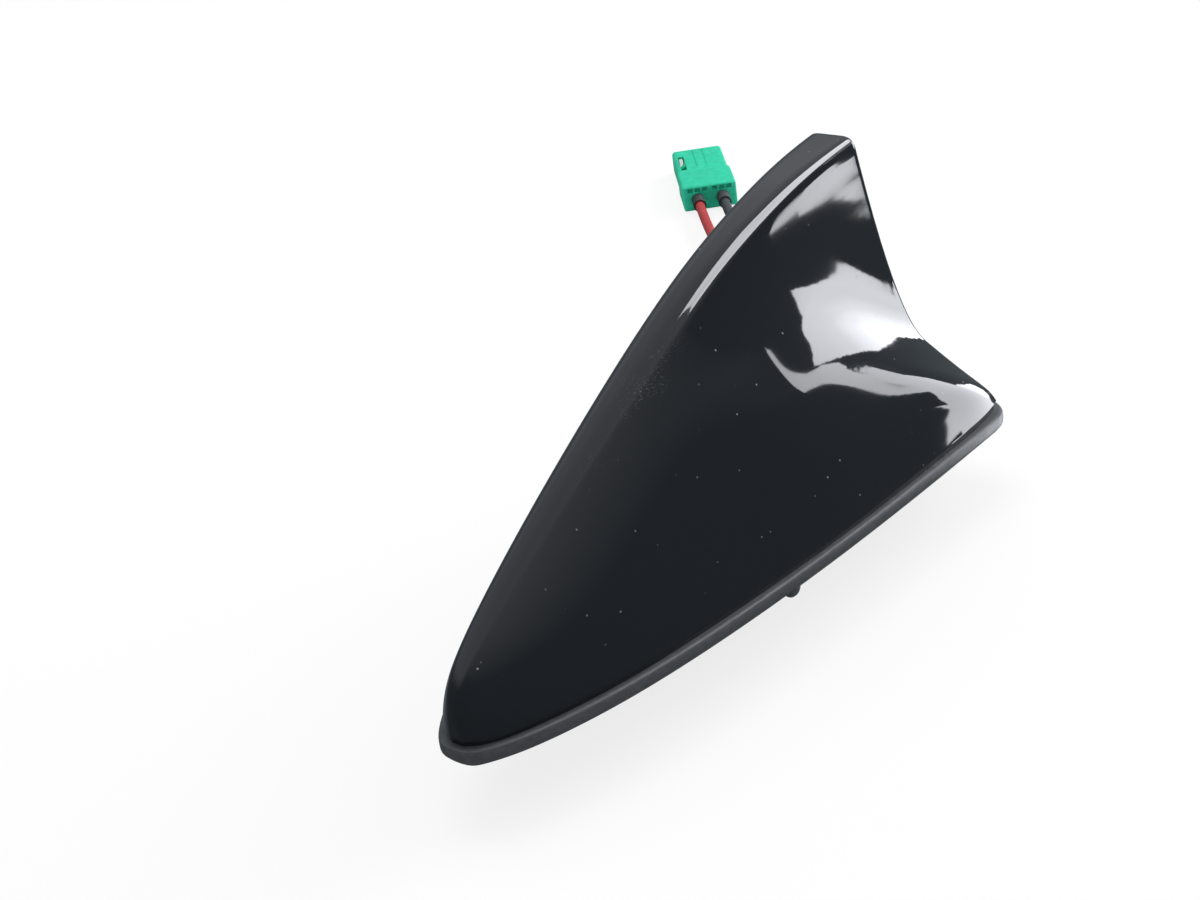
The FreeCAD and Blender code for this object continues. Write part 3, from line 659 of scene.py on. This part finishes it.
def make_floor():
    corners = [(x * FLOOR_HALF, y * FLOOR_HALF, FLOOR_Z) for x, y in ((-1, -1), (1, -1), (1, 1), (-1, 1))]
    floor = new_object("floor", corners, [(0, 1, 2, 3)], False)
    material = bpy.data.materials.new("floor_white")
    material.use_nodes = True
    tree = material.node_tree
    shader = tree.nodes["Principled BSDF"]
    shader.inputs["Base Color"].default_value = (FLOOR_SHADE, FLOOR_SHADE, FLOOR_SHADE, 1)
    shader.inputs["Roughness"].default_value = FLOOR_ROUGH
    glow = tree.nodes.new("ShaderNodeEmission")
    mix = tree.nodes.new("ShaderNodeMixShader")
    share = tree.nodes.new("ShaderNodeMath")
    share.operation = "MULTIPLY"
    share.inputs[1].default_value = FLOOR_GLOW
    tree.links.new(seen_factor(tree), share.inputs[0])
    tree.links.new(share.outputs["Value"], mix.inputs["Fac"])
    tree.links.new(shader.outputs["BSDF"], mix.inputs[1])
    tree.links.new(glow.outputs["Emission"], mix.inputs[2])
    tree.links.new(mix.outputs["Shader"], tree.nodes["Material Output"].inputs["Surface"])
    floor.data.materials.append(material)
    floor.visible_glossy = False


make_floor()


# Studio room that only reflections see: dark walls under a bright ceiling, and windows
ROOM, NEAR, CLOSE = 2000.0, 307.0, 97.0
FAR = 0.95 * ROOM
ROOM_ROWS, ROOM_RING = 24, 48
# Light of the walls by height, from the floor of the room (0) to its top (1)
ROOM_STOPS = ((0.3, (0.15, 0.17, 0.185)), (0.62, (0.21, 0.24, 0.265)), (0.78, (0.85, 0.88, 0.92)))
WINDOW_COLOUR, CLOUD_SCALE, CLOUD_DETAIL, CLOUD_RANGE = (0.93, 0.95, 1.0, 1), 1.6, 2.0, (0.35, 0.65)
# A ragged border: step in degrees, waves as height, rate and start, fade at corners, share sideways
RAGGED_STEP, RAGGED_FADE, RAGGED_ASIDE = 0.6, 4, 0.6
RAGGED_WAVES = ((1.0, 2.3, 0), (0.7, 5.1, 1), (0.5, 9.7, 2))


def direction(turn, rise):
    a, e = math.radians(turn), math.radians(rise)
    return Vector((math.cos(a) * math.cos(e), math.sin(a) * math.cos(e), math.sin(e)))


def only_reflected(obj):
    obj.visible_camera = obj.visible_diffuse = obj.visible_shadow = False
    obj.visible_transmission = obj.visible_volume_scatter = False


def glowing(name, build):
    material = bpy.data.materials.new(name)
    material.use_nodes = True
    tree = material.node_tree
    tree.nodes.clear()
    glow, out = tree.nodes.new("ShaderNodeEmission"), tree.nodes.new("ShaderNodeOutputMaterial")
    tree.links.new(glow.outputs["Emission"], out.inputs["Surface"])
    build(tree, glow)
    return material


def room_light(tree, glow):
    where = tree.nodes.new("ShaderNodeTexCoord")
    split = tree.nodes.new("ShaderNodeSeparateXYZ")
    ramp = tree.nodes.new("ShaderNodeValToRGB")
    scale = tree.nodes.new("ShaderNodeMapRange")
    scale.inputs["From Min"].default_value = -ROOM * MM
    scale.inputs["From Max"].default_value = ROOM * MM
    tree.links.new(where.outputs["Object"], split.inputs["Vector"])
    tree.links.new(split.outputs["Z"], scale.inputs["Value"])
    tree.links.new(scale.outputs["Result"], ramp.inputs["Fac"])
    ramp.color_ramp.elements.new(0.5)
    for element, (place, colour) in zip(ramp.color_ramp.elements, ROOM_STOPS):
        element.position, element.color = place, (*colour, 1)
    tree.links.new(ramp.outputs["Color"], glow.inputs["Color"])


def make_room():
    patches = Patches()
    patches.grid([[direction(360 * i / ROOM_RING, 180 * j / ROOM_ROWS - 90) * ROOM
                   for i in range(ROOM_RING + 1)] for j in range(ROOM_ROWS + 1)])
    room = new_object("room", patches.verts, patches.faces)
    room.data.materials.append(glowing("room_walls", room_light))
    only_reflected(room)


def ragged(outline, rough):
    """Cuts each side into short steps that waver by up to about that many degrees."""
    out, count = [], 0
    for (a0, e0), (a1, e1) in zip(outline, outline[1:] + outline[:1]):
        steps = max(1, round(math.hypot(a1 - a0, e1 - e0) / RAGGED_STEP))
        for i in range(steps):
            wave = sum(height * math.sin(count * rate + start) for height, rate, start in RAGGED_WAVES)
            t = i / steps
            sway = rough * wave * min(1.0, RAGGED_FADE * t, RAGGED_FADE * (1 - t))
            out.append((a0 + (a1 - a0) * t + sway * RAGGED_ASIDE, e0 + (e1 - e0) * t + sway))
            count += 1
    return out


def window(name, outline, low, high, rough=0.0, distance=FAR):
    """A bright opening given by its corners as turn and rise in degrees, with cloudy light."""
    levels = (("From Min", CLOUD_RANGE[0]), ("From Max", CLOUD_RANGE[1]), ("To Min", low), ("To Max", high))

    def build(tree, glow):
        where, cloud = tree.nodes.new("ShaderNodeTexCoord"), tree.nodes.new("ShaderNodeTexNoise")
        level = tree.nodes.new("ShaderNodeMapRange")
        cloud.inputs["Scale"].default_value = CLOUD_SCALE
        cloud.inputs["Detail"].default_value = CLOUD_DETAIL
        for socket, value in levels:
            level.inputs[socket].default_value = value
        tree.links.new(where.outputs["Object"], cloud.inputs["Vector"])
        tree.links.new(cloud.outputs["Fac"], level.inputs["Value"])
        tree.links.new(level.outputs["Result"], glow.inputs["Strength"])
        glow.inputs["Color"].default_value = WINDOW_COLOUR

    corners = ragged(outline, rough) if rough else outline
    card = new_object(name, [direction(*corner) * distance for corner in corners],
                      [tuple(range(len(corners)))], False)
    card.data.materials.append(glowing(name, build))
    only_reflected(card)


# Windows: corners, then the lowest and highest strength, raggedness and distance
make_room()
window("window_main", [(-31.3, 12.9), (-28.4, 9.8), (-29.5, 3.5), (-32.6, -0.5), (-34.5, -2), (-32, -3.9),
                       (-30.2, -5.7), (-29.7, -7.5), (-30.2, -9), (-31.2, -10.2), (-31.3, -10.8), (-22, -10.9),
                       (-14, -6), (-4, -2.5), (3.5, -0.5), (3.5, 0.7), (-1.2, 4.6), (-9.1, 10.3),
                       (-18.3, 12.5), (-26.1, 12.9)], 6.5, 8.5, 0.1)
window("window_crest", [(-42, 13.6), (-37, 13.7), (-34.5, 13.8), (-32, 13.5), (-29.1, 13.1), (-24.8, 13.9),
                        (-23.4, 15.6), (-25.3, 16.3), (-29.5, 16.1), (-33, 15.6), (-42, 15.4)], 6.0, 7.5)
window("window_high", [(-29.5, 16.15), (-17, 16.35), (-17, 18), (-29.5, 18)], 6.0, 8.0)
window("window_tip", [(-34.7, -13.97), (-35.4, -13.95), (-36.1, -13.5), (-36.5, -13), (-37.3, -11.9),
                      (-38.5, -10.5), (-42, -10.5), (-42, -19), (-34.7, -19)], 6.5, 8.0)
window("skylight", [(-66, 34), (-50, 25), (-12, 19), (-12, 64), (-66, 64)], 11.0, 13.0)
window("window_near", [(-33.5, -9), (-43.5, -9), (-43.5, -3), (-41.7, 0.5), (-41.7, 4.6), (-37.7, 1.2),
                       (-34.5, -1.4), (-33.5, -2.2)], 6.0, 8.0, 0.0, NEAR)
window("window_corner", [(-29.4, 21.8), (-26, 22.2), (-23.2, 21.6), (-21.8, 19.5), (-20.9, 17.4), (-21.1, 15.6),
                         (-21.6, 13), (-22.8, 9.4), (-23.9, 3.9), (-24, -12), (-34, -12), (-36.6, -4),
                         (-36.7, 4.5), (-34.8, 11.8), (-31.3, 16.2), (-28.8, 19.6)], 6.0, 8.0, 0.0, CLOSE)


# Soft lamps for the level of light, left out of reflections
def lamp(name, turn, rise, distance, width, power):
    data = bpy.data.lights.new(name, "AREA")
    data.shape, data.size, data.energy = "SQUARE", width, power
    obj = bpy.data.objects.new(name, data)
    way = direction(turn, rise)
    obj.location = way * distance
    obj.rotation_mode = "QUATERNION"
    obj.rotation_quaternion = way.to_track_quat("Z", "Y")
    obj.visible_glossy = False
    scene.collection.objects.link(obj)


# Name, turn and rise in degrees, distance and width in metres, watts
LAMPS = (("lamp_window", -25, 28, 1.3, 0.7, 9.0), ("lamp_top", 60, 70, 1.4, 1.0, 9.0))
for facts in LAMPS:
    lamp(*facts)
scene.view_settings.view_transform = "Standard"
